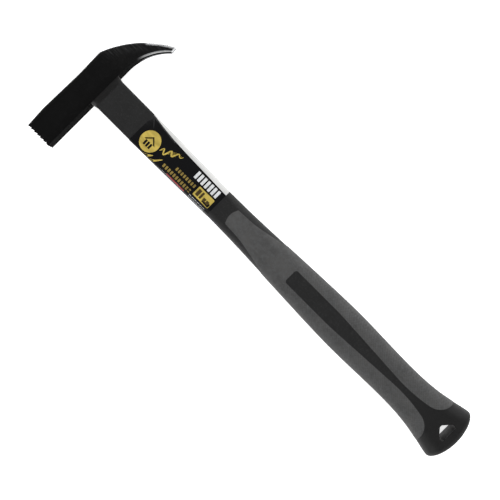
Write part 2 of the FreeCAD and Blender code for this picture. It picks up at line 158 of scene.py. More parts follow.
class Graph:
    """The node tree of one material."""

    def __init__(self, name: str) -> None:
        """Start an empty material with one surface shader.

        Args:
            name: The material's name.
        """
        self.material = bpy.data.materials.new(name)
        self.material.use_nodes = True
        self.tree = self.material.node_tree
        self.tree.nodes.clear()
        self.surface = self.node("ShaderNodeBsdfPrincipled", {}, {})
        output = self.node("ShaderNodeOutputMaterial", {}, {})
        self.tree.links.new(self.surface.outputs["BSDF"], output.inputs["Surface"])

    def node(self, kind: str, settings: dict[str, Any], inputs: dict[Any, Any]) -> bpy.types.Node:
        """Add a node of any kind.

        Args:
            kind: The node's type.
            settings: Properties of the node, set before its sockets are used.
            inputs: Socket name or number to a value, a socket or a channel.

        Returns:
            The node.
        """
        made = self.tree.nodes.new(kind)
        for key, value in settings.items():
            setattr(made, key, value)
        for key, value in inputs.items():
            source = value.socket if isinstance(value, Channel) else value
            if isinstance(source, bpy.types.NodeSocket):
                self.tree.links.new(source, made.inputs[key])
            else:
                made.inputs[key].default_value = source
        return made

    def number(self, kind: str, settings: dict[str, Any], inputs: dict[Any, Any],
               output: Any = 0) -> Channel:
        """Add a node and take a number from it.

        Args:
            kind: The node's type.
            settings: Its properties.
            inputs: Its sockets' values.
            output: Name or number of the output.

        Returns:
            The output as a channel.
        """
        return Channel(self, self.node(kind, settings, inputs).outputs[output])

    def place(self) -> bpy.types.NodeSocket:
        """Coordinates in millimetres, in the row's frame.

        Returns:
            The vector.
        """
        coordinates = self.node("ShaderNodeTexCoord", {}, {})
        return self.node("ShaderNodeVectorMath", {"operation": "SCALE"},
                         {0: coordinates.outputs["Object"], "Scale": 1.0 / MM}).outputs[0]

    def from_eye(self, vector: bpy.types.NodeSocket) -> tuple[Channel, Channel, Channel]:
        """Split a place into its distances from the eye's centre.

        Args:
            vector: Coordinates in millimetres.

        Returns:
            Along the handle, towards the claw and through the thickness.
        """
        parts = self.node("ShaderNodeSeparateXYZ", {}, {0: vector})
        x, y, z = (Channel(self, parts.outputs[i]) for i in range(3))
        return x - DATUM.x / MM, y - DATUM.y / MM, z - DATUM.z / MM

    def stretched(self, vector: bpy.types.NodeSocket,
                  factors: tuple[float, float, float]) -> bpy.types.NodeSocket:
        """Multiply a vector part by part.

        Args:
            vector: The vector.
            factors: One factor for each axis.

        Returns:
            The product.
        """
        return self.node("ShaderNodeVectorMath", {"operation": "MULTIPLY"},
                         {0: vector, 1: factors}).outputs[0]

    def grain(self, vector: bpy.types.NodeSocket, scale: float, detail: float = 3.0,
              roughness: float = 0.5) -> Channel:
        """Noise between 0 and 1.

        Args:
            vector: Coordinates in millimetres.
            scale: Features per millimetre.
            detail: Octaves of finer noise.
            roughness: Weight of the finer octaves.

        Returns:
            The noise.
        """
        inputs = {"Vector": vector, "Scale": scale, "Detail": detail, "Roughness": roughness}
        return self.number("ShaderNodeTexNoise", {}, inputs)

    def blend(self, factor: Channel, low: Any, high: Any) -> bpy.types.NodeSocket:
        """Mix two colours.

        Args:
            factor: 0 for the first colour, 1 for the second.
            low: The first colour, or a colour socket.
            high: The second colour, or a colour socket.

        Returns:
            The mixed colour.
        """
        mix = self.node("ShaderNodeMix", {"data_type": "RGBA"}, {"Factor": factor, 6: low, 7: high})
        return mix.outputs[2]

    def bump(self, height: Channel, distance: float, strength: float = 1.0,
             below: Optional[bpy.types.NodeSocket] = None) -> bpy.types.NodeSocket:
        """Turn a height into a normal.

        Args:
            height: Height between about 0 and 1.
            distance: Millimetres that a height of 1 stands for.
            strength: How much of the bump shows.
            below: Another bump's normal, under this one.

        Returns:
            The normal.
        """
        inputs = {"Height": height, "Distance": distance * MM, "Strength": strength}
        if below is not None:
            inputs["Normal"] = below
        return self.node("ShaderNodeBump", {}, inputs).outputs["Normal"]

    def finish(self, **sockets: Any) -> bpy.types.Material:
        """Set the surface's sockets and return the material.

        Args:
            sockets: Socket names with underscores for spaces, and their values or links.

        Returns:
            The material.
        """
        for name, value in sockets.items():
            target = self.surface.inputs[name.replace("_", " ")]
            source = value.socket if isinstance(value, Channel) else value
            if isinstance(source, bpy.types.NodeSocket):
                self.tree.links.new(source, target)
            else:
                target.default_value = source
        return self.material


def grey(level: float, warmth: float = 0.0) -> tuple[float, float, float, float]:
    """A neutral colour.

    Args:
        level: Linear brightness.
        warmth: Share added to red and taken from blue.

    Returns:
        The colour with full alpha.
    """
    return (level * (1 + warmth), level, level * (1 - warmth), 1.0)


# ---------------------------------------------------------------- where the pieces lie


@dataclass(frozen=True)
class Datum:
    """The eye's centre, from which the hammer's sizes are measured, in metres."""

    x: float
    y: float
    z: float

    @classmethod
    def from_frame(cls, neck_start: float) -> "Datum":
        """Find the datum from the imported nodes.

        Args:
            neck_start: Millimetres from the eye's centre to the jacket's first face.

        Returns:
            The datum.
        """
        core_low, core_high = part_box("fiberglass_core")
        jacket_low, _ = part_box("handle_jacket")
        return cls(jacket_low[0] - neck_start * MM, (core_low[1] + core_high[1]) / 2,
                   (core_low[2] + core_high[2]) / 2)

    def at(self, x: float, y: float, z: float) -> Vector:
        """A point given in millimetres from the datum, in the row's frame.

        Args:
            x: Along the handle, towards the butt.
            y: Towards the claw.
            z: Through the thickness.

        Returns:
            The point in metres.
        """
        return Vector((self.x + x * MM, self.y + y * MM, self.z + z * MM))


NECK_START = 14.3
DATUM = Datum.from_frame(NECK_START)


# ---------------------------------------------------------------- finishes


@dataclass(frozen=True)
class ForgedBlack:
    """Black coating on the forging, with the claw's edges ground bright."""

    name: str = "forged_black"
    rough: float = 0.3
    tone: float = 0.002
    shine: float = 0.14
    scale_size: float = 0.35
    back_radius: float = 75.0
    under_radius: float = 41.5
    back_centre: Point2 = (64.1, -7.0)
    under_centre: Point2 = (51.9, 21.0)

    def material(self) -> bpy.types.Material:
        """Build the material.

        Returns:
            The material.
        """
        g = Graph(self.name)
        vector = g.place()
        x, y, z = g.from_eye(vector)
        cloud = g.grain(vector, 0.09, 4.0, 0.6)
        scale = g.grain(vector, 1.0 / self.scale_size, 4.0, 0.6)
        dapple = g.grain(vector, 0.55, 4.0, 0.65)
        bright = self._ground(g, vector, x, y, z)
        coat = g.blend(cloud.rise(0.35, 0.75), grey(self.tone * 0.75), grey(self.tone * 1.3, -0.02))
        # Painted shade: the coating darkens towards the head's handle side, where its side turns away
        # from the light.
        coat = g.blend(x.rise(2.5, 8.0) * 0.7, coat, grey(self.tone * 0.3))
        # Random pale patches of wear, made stronger towards the claw as a painted sheen on its tapered
        # cheeks.
        wear_and_claw_sheen = dapple.rise(0.5, 0.8) * (0.35 + y.rise(0.0, 40.0) * 0.65)
        coat = g.blend(wear_and_claw_sheen, coat, grey(self.tone * 4.0))
        # Painted highlight: a lighter, streaky band along the claw's rounded back edge.
        coat = g.blend(self._back_edge_sheen(g, vector, x, y) * 0.5, coat, grey(0.042, -0.03))
        brushed = g.grain(g.stretched(vector, (0.5, 0.5, 9.0)), 1.0, 2.0, 0.5)
        steel = g.blend(brushed, grey(0.34, -0.01), grey(0.66, -0.01))
        normal = g.bump(scale, 0.05, 0.6, g.bump(dapple, 0.16, 0.5, g.bump(cloud, 0.35, 0.5)))
        normal = g.bump(brushed * bright, 0.02, 0.6, normal)
        rough = ((self.rough + scale * 0.08 + dapple * 0.1) * (1.0 - bright)
                 + bright * (0.26 + brushed * 0.14))
        return g.finish(Base_Color=g.blend(bright, coat, steel), Metallic=bright,
                        Roughness=rough, Normal=normal, Specular_IOR_Level=self.shine)

    def _back_depth(self, x: Channel, y: Channel) -> Channel:
        """Depth below the arc of the claw's back.

        Args:
            x: Along the handle from the eye.
            y: Towards the claw from the eye.

        Returns:
            Millimetres inside the arc.
        """
        reach = ((x - self.back_centre[0]) ** 2.0 + (y - self.back_centre[1]) ** 2.0).root()
        return self.back_radius - reach

    def _back_edge_sheen(self, g: Graph, vector: bpy.types.NodeSocket, x: Channel, y: Channel) -> Channel:
        """Mask of a painted highlight along the claw's rounded back, broken into streaks down its
        cheeks.

        Args:
            g: The material's graph.
            vector: Coordinates in millimetres.
            x: Along the handle from the eye.
            y: Towards the claw from the eye.

        Returns:
            1 in the middle of a streak of the painted highlight.
        """
        streak_noise = g.grain(g.stretched(vector, (0.12, 1.5, 0.4)), 1.0, 3.0, 0.7).rise(0.42, 0.7)
        depth = self._back_depth(x, y)
        return streak_noise * depth.rise(6.5, 1.0) * y.rise(12.0, 22.0) * y.rise(56.0, 46.0)

    def _ground(self, g: Graph, vector: bpy.types.NodeSocket, x: Channel, y: Channel,
                z: Channel) -> Channel:
        """Mask of the ground faces: the claw's back edge near its tip, its under edge and its end.

        Args:
            g: The material's graph.
            vector: Coordinates in millimetres.
            x: Along the handle from the eye.
            y: Towards the claw from the eye.
            z: Through the thickness from the eye.

        Returns:
            1 on bare steel.
        """
        wobble = (g.grain(vector, 0.5, 2.0) - 0.5) * 0.9
        back = self._back_depth(x, y) + wobble * 0.8 - (y - 44.0) * 0.1
        under = ((x - self.under_centre[0]) ** 2.0 + (y - self.under_centre[1]) ** 2.0).root() \
            - self.under_radius + wobble * 0.4
        blotch = g.grain(vector, 1.1, 3.0, 0.7).rise(0.34, 0.48)
        on_back = back.rise(1.2, 0.7) * (y + wobble * 3.0).rise(41.5, 44.5) * blotch
        edge = (z.absolute() * -1.0).rise(-3.4, -4.2)
        on_under = under.rise(0.75, 0.45) * (y + wobble * 2.0).rise(30.0, 40.0) * edge
        end = (y * 0.2 + x + wobble * 0.3).rise(34.0, 34.4)
        return on_back.at_least(on_under * 0.7).at_least(end)


@dataclass(frozen=True)
class MouldedBlack:
    """Hard jacket: dark plastic with a fine matt texture."""

    tone: float = 0.0055
    shine: float = 0.3
    butt_shade_span: Point2 = (290.0, 335.0)

    def material(self) -> bpy.types.Material:
        """Build the material.

        Returns:
            The material.
        """
        g = Graph("jacket_moulded")
        vector = g.place()
        x, _, _ = g.from_eye(vector)
        stipple = g.grain(vector, 3.2, 3.0, 0.55)
        cloud = g.grain(vector, 0.12, 4.0, 0.6)
        flow = g.grain(g.stretched(vector, (0.05, 0.6, 0.6)), 1.0, 2.0)
        speck = g.grain(vector, 0.75, 4.0, 0.7)
        colour = g.blend(cloud.rise(0.3, 0.7), grey(self.tone * 0.8, -0.02),
                         grey(self.tone * 1.2, -0.02))
        colour = g.blend(speck.rise(0.5, 0.72), colour, grey(self.tone * 2.8, -0.02))
        colour = g.blend(stipple.rise(0.5, 0.75) * 0.5, colour, grey(self.tone * 3.2))
        # Painted shade: the jacket darkens towards the butt, where it catches less sheen.
        colour = g.blend(x.rise(*self.butt_shade_span) * 0.75, colour, grey(self.tone * 0.15))
        normal = g.bump(stipple, 0.06, 0.7, g.bump(speck, 0.08, 0.4, g.bump(flow, 0.12, 0.4)))
        return g.finish(Base_Color=colour, Roughness=0.5 + cloud * 0.14, Normal=normal,
                        Specular_IOR_Level=self.shine)


@dataclass(frozen=True)
class GripRubber:
    """Soft grey rubber, stippled, with fine crossing ribs where the fingers close."""

    tone: float = 0.055
    shine: float = 0.3
    rib_start: float = 191.0
    rib_pitch: float = 1.5
    rib_depth: float = 0.16

    def material(self) -> bpy.types.Material:
        """Build the material.

        Returns:
            The material.
        """
        g = Graph("grip_rubber")
        vector = g.place()
        x, y, z = g.from_eye(vector)
        stipple = g.grain(vector, 2.4, 3.0, 0.6)
        cloud = g.grain(vector, 0.1, 4.0, 0.62)
        turn = 2 * math.pi / self.rib_pitch
        across = y + z * 0.6
        slant = turn * math.sqrt(0.5)
        first = ((x + across) * slant).sine()
        second = ((x - across) * slant).sine()
        ribbed = x.rise(self.rib_start, self.rib_start + 1.5)
        ribs = (first * 0.62 + second * 0.38) * 0.5 + 0.5
        mottle = g.grain(vector, 0.42, 4.0, 0.66)
        colour = g.blend(cloud.rise(0.3, 0.7), grey(self.tone * 0.84), grey(self.tone * 1.12, 0.015))
        colour = g.blend(mottle.rise(0.4, 0.68) * 0.7, colour, grey(self.tone * 1.28, -0.02))
        # Painted shade: the ribs' grooves are darkened.
        colour = g.blend(ribbed * ribs.rise(0.55, 0.1) * 0.35, colour, grey(self.tone * 0.62))
        colour = g.blend(stipple.rise(0.55, 0.8) * 0.3, colour, grey(self.tone * 1.3))
        base = g.bump(mottle, 0.12, 0.4, g.bump(ribs * ribbed, self.rib_depth, 0.9))
        normal = g.bump(stipple, 0.07, 0.6, base)
        return g.finish(Base_Color=colour, Roughness=0.62 + stipple * 0.12, Normal=normal,
                        Specular_IOR_Level=self.shine)


@dataclass(frozen=True)
class CuredResin:
    """Dark epoxy, slightly wavy and glossier than the forging."""

    tone: float = 0.004
    shine: float = 0.3

    def material(self) -> bpy.types.Material:
        """Build the material.

        Returns:
            The material.
        """
        g = Graph("cured_resin")
        vector = g.place()
        sag = g.grain(vector, 0.45, 3.0, 0.55)
        pore = g.grain(vector, 3.0, 2.0, 0.5)
        colour = g.blend(sag, grey(self.tone * 0.7), grey(self.tone * 1.6, 0.04))
        normal = g.bump(sag, 0.4, 0.7, g.bump(pore, 0.04, 0.5))
        return g.finish(Base_Color=colour, Roughness=0.34 + sag * 0.2, Normal=normal,
                        Specular_IOR_Level=self.shine)


@dataclass(frozen=True)
class GlassFibre:
    """Cut end of the fibreglass core: resin with the ends of the strands in it."""

    def material(self) -> bpy.types.Material:
        """Build the material.

        Returns:
            The material.
        """
        g = Graph("glass_fibre")
        vector = g.place()
        strands = g.number("ShaderNodeTexVoronoi", {"feature": "F1"},
                           {"Vector": g.stretched(vector, (0.04, 1.0, 1.0)), "Scale": 2.6}, "Distance")
        tint = g.grain(vector, 0.6, 3.0)
        resin = g.blend(tint, (0.42, 0.33, 0.16, 1.0), (0.58, 0.49, 0.29, 1.0))
        colour = g.blend(strands.rise(0.42, 0.15), resin, (0.74, 0.7, 0.58, 1.0))
        return g.finish(Base_Color=colour, Roughness=0.5 + strands * 0.2,
                        Normal=g.bump(strands, 0.06, 0.6))


class Ink(Enum):
    """Colours printed on the label: linear colour, metallic share and roughness."""

    BLACK = ((0.0022, 0.0022, 0.0028, 1.0), 0.0, 0.2)
    WHITE = ((0.66, 0.67, 0.68, 1.0), 0.0, 0.34)
    PANEL = ((0.6, 0.6, 0.59, 1.0), 0.0, 0.42)
    GOLD = ((0.62, 0.47, 0.1, 1.0), 0.2, 0.36)
    DULL_GOLD = ((0.28, 0.2, 0.05, 1.0), 0.2, 0.4)
    DARK_GOLD = ((0.07, 0.045, 0.012, 1.0), 0.1, 0.4)
    RED = ((0.42, 0.05, 0.055, 1.0), 0.0, 0.4)


@dataclass(frozen=True)
class Print:
    """Laminated print of one ink, with the film's faint ripples."""

    ink: Ink
    with_crease_sheen: bool = False

    def material(self) -> bpy.types.Material:
        """Build the material.

        Returns:
            The material.
        """
        colour, metallic, roughness = self.ink.value
        g = Graph(f"print_{self.ink.name.lower()}")
        vector = g.place()
        ripple = g.grain(g.stretched(vector, (0.08, 0.3, 0.3)), 1.0, 2.0, 0.5)
        tooth = g.grain(vector, 4.0, 2.0, 0.5)
        faded = tuple(c * (0.6 if metallic else 0.86) for c in colour[:3]) + (1.0,)
        mixed = g.blend(ripple.rise(0.3, 0.8), colour, faded)
        if self.with_crease_sheen:
            # Painted highlight: the film turns pale grey along its creases.
            mixed = g.blend(self._crease_sheen(g, vector), mixed, grey(0.05, -0.02))
        return g.finish(Base_Color=mixed, Metallic=metallic, Roughness=roughness + tooth * 0.1,
                        Normal=g.bump(ripple, 0.25, 0.35), Specular_IOR_Level=0.28,
                        Coat_Weight=0.06, Coat_Roughness=0.12)

    @staticmethod
    def _crease_sheen(g: Graph, vector: bpy.types.NodeSocket) -> Channel:
        """Mask of the painted sheen along the creases where the film turns over the corner beside the
        neck block.

        Args:
            g: The material's graph.
            vector: Coordinates in millimetres.

        Returns:
            1 on a crease's painted sheen.
        """
        x, y, z = g.from_eye(vector)
        wave = g.grain(vector, 0.3, 2.0) * 0.5
        line = (y + (x - 48.0) * 0.12 + wave - 11.5).absolute().rise(0.45, 0.15)
        along = line * x.rise(47.5, 51.0) * x.rise(73.0, 66.0)
        fold = ((y - 10.0) + (x - 49.5) * 1.15 + wave).absolute().rise(0.4, 0.1)
        across = fold * x.rise(48.8, 49.8) * x.rise(54.0, 52.0)
        return along.at_least(across * 0.8) * z.rise(5.0, 6.0)


# ---------------------------------------------------------------- mesh helpers


def new_piece(name: str, material: bpy.types.Material, shape: bmesh.types.BMesh,
              smooth: float = 35.0) -> bpy.types.Object:
    """Make an object that rides on the hammer.

    Args:
        name: The piece's name.
        material: Its finish.
        shape: Its mesh, which is freed.
        smooth: Edges flatter than this many degrees are shaded smooth.

    Returns:
        The object.
    """
    bmesh.ops.recalc_face_normals(shape, faces=shape.faces)
    for face in shape.faces:
        face.smooth = True
    for edge in shape.edges:
        sharp = len(edge.link_faces) == 2 and edge.calc_face_angle(0.0) > math.radians(smooth)
        edge.smooth = not sharp
    mesh = bpy.data.meshes.new(name)
    shape.to_mesh(mesh)
    shape.free()
    mesh.materials.append(material)
    piece = bpy.data.objects.new(name, mesh)
    bpy.context.scene.collection.objects.link(piece)
    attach(piece, BODY)
    LOG.info("%s: %d faces", name, len(mesh.polygons))
    return piece


def apply_modifiers(piece: bpy.types.Object) -> None:
    """Make a piece's modifiers part of its mesh.

    Args:
        piece: The piece.
    """
    graph = bpy.context.evaluated_depsgraph_get()
    mesh = bpy.data.meshes.new_from_object(piece.evaluated_get(graph))
    piece.modifiers.clear()
    piece.data = mesh


def rounded_outline(corners: Sequence[tuple[float, float, float]], steps: int = 10) -> np.ndarray:
    """Closed outline with rounded corners.

    Args:
        corners: x, y and corner radius, in order.
        steps: Points on each rounded corner.

    Returns:
        The outline's points.
    """
    points: list[Point2] = []
    for index, (x, y, radius) in enumerate(corners):
        here = Vector((x, y))
        if radius <= 0:
            points.append((x, y))
            continue
        back = (Vector(corners[index - 1][:2]) - here).normalized()
        ahead = (Vector(corners[(index + 1) % len(corners)][:2]) - here).normalized()
        half = back.angle(ahead) / 2
        centre = here + (back + ahead).normalized() * (radius / math.sin(half))
        start, end = (here + side * (radius / math.tan(half)) - centre for side in (back, ahead))
        sweep = start.angle_signed(end) * -1.0
        for step in range(steps + 1):
            angle = math.atan2(start.y, start.x) + sweep * step / steps
            points.append((centre.x + radius * math.cos(angle), centre.y + radius * math.sin(angle)))
    return np.array(points)


def dress_node(name: str, material: bpy.types.Material) -> bpy.types.Object:
    """Give a node that keeps its solid a better material.

    Args:
        name: The node.
        material: Its finish.

    Returns:
        The node's object.
    """
    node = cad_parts[name]
    node.data.materials.clear()
    node.data.materials.append(material)
    LOG.info("%s dressed", name)
    return node


# ---------------------------------------------------------------- handle


@dataclass
class Handle:
    """Hard jacket and soft grip, which keep their own solids."""

    jacket: MouldedBlack = MouldedBlack()
    grip: GripRubber = GripRubber()

    def build(self) -> list[bpy.types.Object]:
        """Dress both solids.

        Returns:
            The two nodes.
        """
        return [dress_node("handle_jacket", self.jacket.material()),
                dress_node("soft_grip", self.grip.material())]


# ---------------------------------------------------------------- label


@dataclass
class Label:
    """Printed film wrapped round the shaft, with plain shapes for its print."""

    start: float = 46.9
    end: float = 121.9
    neck: Point2 = (25.0, 18.0)
    neck_radius: float = 1.4
    collar: Point2 = (23.1, 20.0)
    collar_radius: float = 5.0
    film: float = 0.25
    gap: float = 0.02
    foil: float = 0.035
    badge: Point2 = (58.3, -3.0)
    rows: int = 76
    corner_steps: int = 10
    panel_edge: tuple[Point2, ...] = ((46.9, 12.1), (58.0, 10.5), (70.0, 9.3), (86.0, 8.7),
                                     (121.9, 7.7))

    def section(self, x: float) -> tuple[float, float, float]:
        """Half width, half depth and corner radius of the film's outside.

        Args:
            x: Distance from the eye.

        Returns:
            The three sizes in millimetres.
        """
        share = (x - self.start) / (self.end - self.start)
        width, depth = (a + (b - a) * share for a, b in zip(self.neck, self.collar))
        radius = self.neck_radius + (self.collar_radius - self.neck_radius) * share
        return width / 2 + self.film, depth / 2 + self.film, radius + self.film

    def top(self, x: float, y: float, lift: float = 0.0) -> tuple[float, float, float]:
        """Point on the film's front, over a place seen square-on.

        Args:
            x: Distance from the eye.
            y: Distance from the handle's axis.
            lift: Millimetres above the film.

        Returns:
            The point in millimetres from the datum.
        """
        half_y, half_z, radius = self.section(x)
        over = min(max(abs(y) - (half_y - radius), 0.0), radius * 0.999)
        return x, y, half_z - radius + math.sqrt(radius ** 2 - over ** 2) + lift

    def build(self) -> list[bpy.types.Object]:
        """Build the film and its print.

        Returns:
            The pieces.
        """
        pieces = [self._film()]
        for name, ink, drawing in (("badge_gold", Ink.GOLD, self._badge),
                                   ("badge_inlay", Ink.BLACK, self._inlay),
                                   ("lines_gold", Ink.DULL_GOLD, self._lines),
                                   ("size_figures", Ink.DARK_GOLD, self._box_bars),
                                   ("edge_white", Ink.WHITE, self._white),
                                   ("edge_red", Ink.RED, self._red)):
            shape = bmesh.new()
            for outline, height in drawing():
                self._stamp(shape, outline, height)
            piece = new_piece(f"label_{name}", Print(ink).material(), shape)
            pieces.append(piece)
        return pieces

    def _film(self) -> bpy.types.Object:
        """The wrapped film: black, with a pale panel along the claw's side.

        Returns:
            The piece.
        """
        shape = bmesh.new()
        rings = []
        for row in range(self.rows):
            x = self.start + (self.end - self.start) * row / (self.rows - 1)
            rings.append([[shape.verts.new(DATUM.at(*point)) for point in ring]
                          for ring in (self._ring(x, 0.0), self._ring(x, self.gap - self.film))])
        panels = len(rings[0][0])
        panel_faces = 2 * self.corner_steps + 3
        for low, high in zip(rings, rings[1:]):
            for j in range(panels):
                k = (j + 1) % panels
                outer = shape.faces.new([low[0][j], high[0][j], high[0][k], low[0][k]])
                shape.faces.new([low[1][k], high[1][k], high[1][j], low[1][j]])
                outer.material_index = int(j < panel_faces)
        for ring in (rings[0], rings[-1]):
            for j in range(panels):
                k = (j + 1) % panels
                shape.faces.new([ring[0][j], ring[0][k], ring[1][k], ring[1][j]])
        film = Print(Ink.BLACK, with_crease_sheen=True).material()
        piece = new_piece("label_wrapper", film, shape, 60.0)
        piece.data.materials.append(Print(Ink.PANEL).material())
        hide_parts("label_wrap")
        return piece

    def _ring(self, x: float, grow: float) -> list[tuple[float, float, float]]:
        """Points round the film at one distance, from the panel's edge over the claw's side.

        Args:
            x: Distance from the eye.
            grow: Millimetres outside the film's outside.

        Returns:
            The points, in millimetres from the datum.
        """
        half_y, half_z, radius = self.section(x)
        edge = min(float(np.interp(x, *zip(*self.panel_edge))), half_y - 0.3 * radius)
        corner_y, corner_z = half_y - radius, half_z - radius
        points: list[Point2] = []

        over = max(edge - corner_y, 0.0)
        begin = math.degrees(math.asin(min(over / radius, 0.95)))
        if over <= 0.0:
            points.append((edge, half_z + grow))
        else:
            points.append((corner_y + (radius + grow) * math.sin(math.radians(begin)),
                           corner_z + (radius + grow) * math.cos(math.radians(begin))))
        for side_y, side_z, first, last in ((1, 1, begin + 1.0, 90.0), (1, -1, 90.0, 180.0),
                                            (-1, -1, 180.0, 270.0), (-1, 1, 270.0, 360.0)):
            for step in range(self.corner_steps + 1):
                angle = math.radians(first + (last - first) * step / self.corner_steps)
                points.append((side_y * corner_y + (radius + grow) * math.sin(angle),
                               side_z * corner_z + (radius + grow) * math.cos(angle)))
        return [(x, y, z) for y, z in points]

    def _stamp(self, shape: bmesh.types.BMesh, outline: Sequence[Point2], height: float) -> None:
        """Lay a flat printed shape on the film's front.

        Args:
            shape: The mesh it is added to.
            outline: Its outline in x and y.
            height: How many layers of foil lie under it.
        """
        low = self.foil * height
        rims = [[shape.verts.new(DATUM.at(*self.top(x, y, lift))) for x, y in outline]
                for lift in (low - self.foil, low + self.foil)]
        count = len(outline)
        top = shape.faces.new(rims[1])
        bottom = shape.faces.new(list(reversed(rims[0])))
        for j in range(count):
            k = (j + 1) % count
            shape.faces.new([rims[0][j], rims[0][k], rims[1][k], rims[1][j]])
        bmesh.ops.triangulate(shape, faces=[top, bottom])

    @staticmethod
    def _bar(x0: float, x1: float, y0: float, y1: float, radius: float = 0.25) -> list[Point2]:
        """Rounded rectangle.

        Args:
            x0: Nearest the head.
            x1: Nearest the butt.
            y0: Lower side.
            y1: Upper side.
            radius: Corner radius.

        Returns:
            Its outline.
        """
        corners = [(x0, y0, radius), (x1, y0, radius), (x1, y1, radius), (x0, y1, radius)]
        return [tuple(point) for point in rounded_outline(corners, 4)]

    def _row(self, x0: float, x1: float, y0: float, y1: float,
             count: int, fill: float = 0.72) -> list[tuple[list[Point2], float]]:
        """Row of equal bars.

        Args:
            x0: Where the row starts.
            x1: Where it ends.
            y0: Lower side.
            y1: Upper side.
            count: How many bars.
            fill: Share of the pitch that a bar covers.

        Returns:
            Outlines with their layers.
        """
        pitch = (x1 - x0) / count
        return [(self._bar(x0 + pitch * n, x0 + pitch * (n + fill), y0, y1), 1.0) for n in range(count)]

    def _badge(self) -> list[tuple[list[Point2], float]]:
        """Gold shapes: a round badge over two strokes, a running wave and the size panel.

        Returns:
            Outlines with their layers.
        """
        middle_x, middle_y = self.badge
        disc = [(middle_x + 7.6 * math.cos(a), middle_y + 7.9 * math.sin(a))
                for a in np.linspace(0, 2 * math.pi, 48, endpoint=False)]
        ribbon = [self._stroke([(59.5, -12.4), (63.5, -11.4), (66.5, -8.6)], 1.5),
                  self._stroke([(65.6, -12.4), (69.6, -10.6), (73.4, -6.0)], 1.3)]
        wave = self._stroke([(67.4 + 15.2 * t,
                              -2.8 + 8.2 * t + (2.7 - 1.7 * t) * math.sin(t * 6 * math.pi))
                             for t in np.linspace(0.0, 1.0, 60)], 1.15)
        return [(disc, 1.0), (wave, 1.0), (self._bar(104.6, 119.2, -8.0, -0.5, 0.7), 1.0),
                *((outline, 1.0) for outline in ribbon)]

    @staticmethod
    def _stroke(path: Sequence[Point2], width: float) -> list[Point2]:
        """Band along a path, thinning to its ends.

        Args:
            path: The path's points.
            width: Width at its middle.

        Returns:
            The band's outline.
        """
        line = np.array(path)
        if len(line) < 5:
            knots = np.linspace(0, 1, len(line))
            finer = np.linspace(0, 1, 12)
            line = np.stack([np.interp(finer, knots, line[:, i]) for i in (0, 1)], axis=1)
        slope = np.gradient(line, axis=0)
        side = np.stack([-slope[:, 1], slope[:, 0]], axis=1) / np.hypot(*slope.T)[:, None]
        share = np.linspace(0, 1, len(line))
        half = width / 2 * (0.35 + 0.65 * np.sin(math.pi * share))[:, None]
        return [tuple(point) for point in np.vstack([line + side * half, (line - side * half)[::-1]])]

    def _lines(self) -> list[tuple[list[Point2], float]]:
        """Two lines of small bars in duller gold.

        Returns:
            Outlines with their layers.
        """
        return (self._row(84.3, 103.6, -4.6, -2.0, 8, 0.62)
                + self._row(76.0, 103.2, -9.3, -6.6, 11, 0.64))

    def _inlay(self) -> list[tuple[list[Point2], float]]:
        """Dark gable roof and posts inside the badge.

        Returns:
            Outlines with their layers.
        """
        middle = self.badge[0]
        roof = [(middle - 4.9, -3.8), (middle, 1.2), (middle + 4.9, -3.8),
                (middle + 3.6, -3.8), (middle, -0.2), (middle - 3.6, -3.8)]
        posts = [self._bar(x, x + 1.6, -7.6, -3.6, 0.2) for x in (55.2, 57.5, 59.8)]
        return [(roof, 2.0)] + [(outline, 2.0) for outline in posts]

    def _box_bars(self) -> list[tuple[list[Point2], float]]:
        """Dark bars in the size panel.

        Returns:
            Outlines with their layers.
        """
        bars = [self._bar(105.9, 108.4, -6.9, -1.7), self._bar(109.3, 111.0, -6.9, -1.7),
                self._bar(112.3, 114.6, -6.6, -4.0), self._bar(115.2, 117.6, -6.6, -4.0)]
        return [(bar, 2.0) for bar in bars]

    def _white(self) -> list[tuple[list[Point2], float]]:
        """White blocks of the heading and the small print at the lower edge.

        Returns:
            Outlines with their layers.
        """
        return (self._row(96.9, 119.4, 0.8, 6.7, 7, 0.66) + self._row(103.4, 118.6, -11.2, -9.6, 6, 0.7)
                + self._row(76.6, 99.0, -12.3, -11.3, 5, 0.86))

    def _red(self) -> list[tuple[list[Point2], float]]:
        """Red line of small print at the lower edge.

        Returns:
            Outlines with their layers.
        """
        return [(self._bar(82.0, 99.0, -11.1, -10.5, 0.2), 1.0)]


# ---------------------------------------------------------------- head


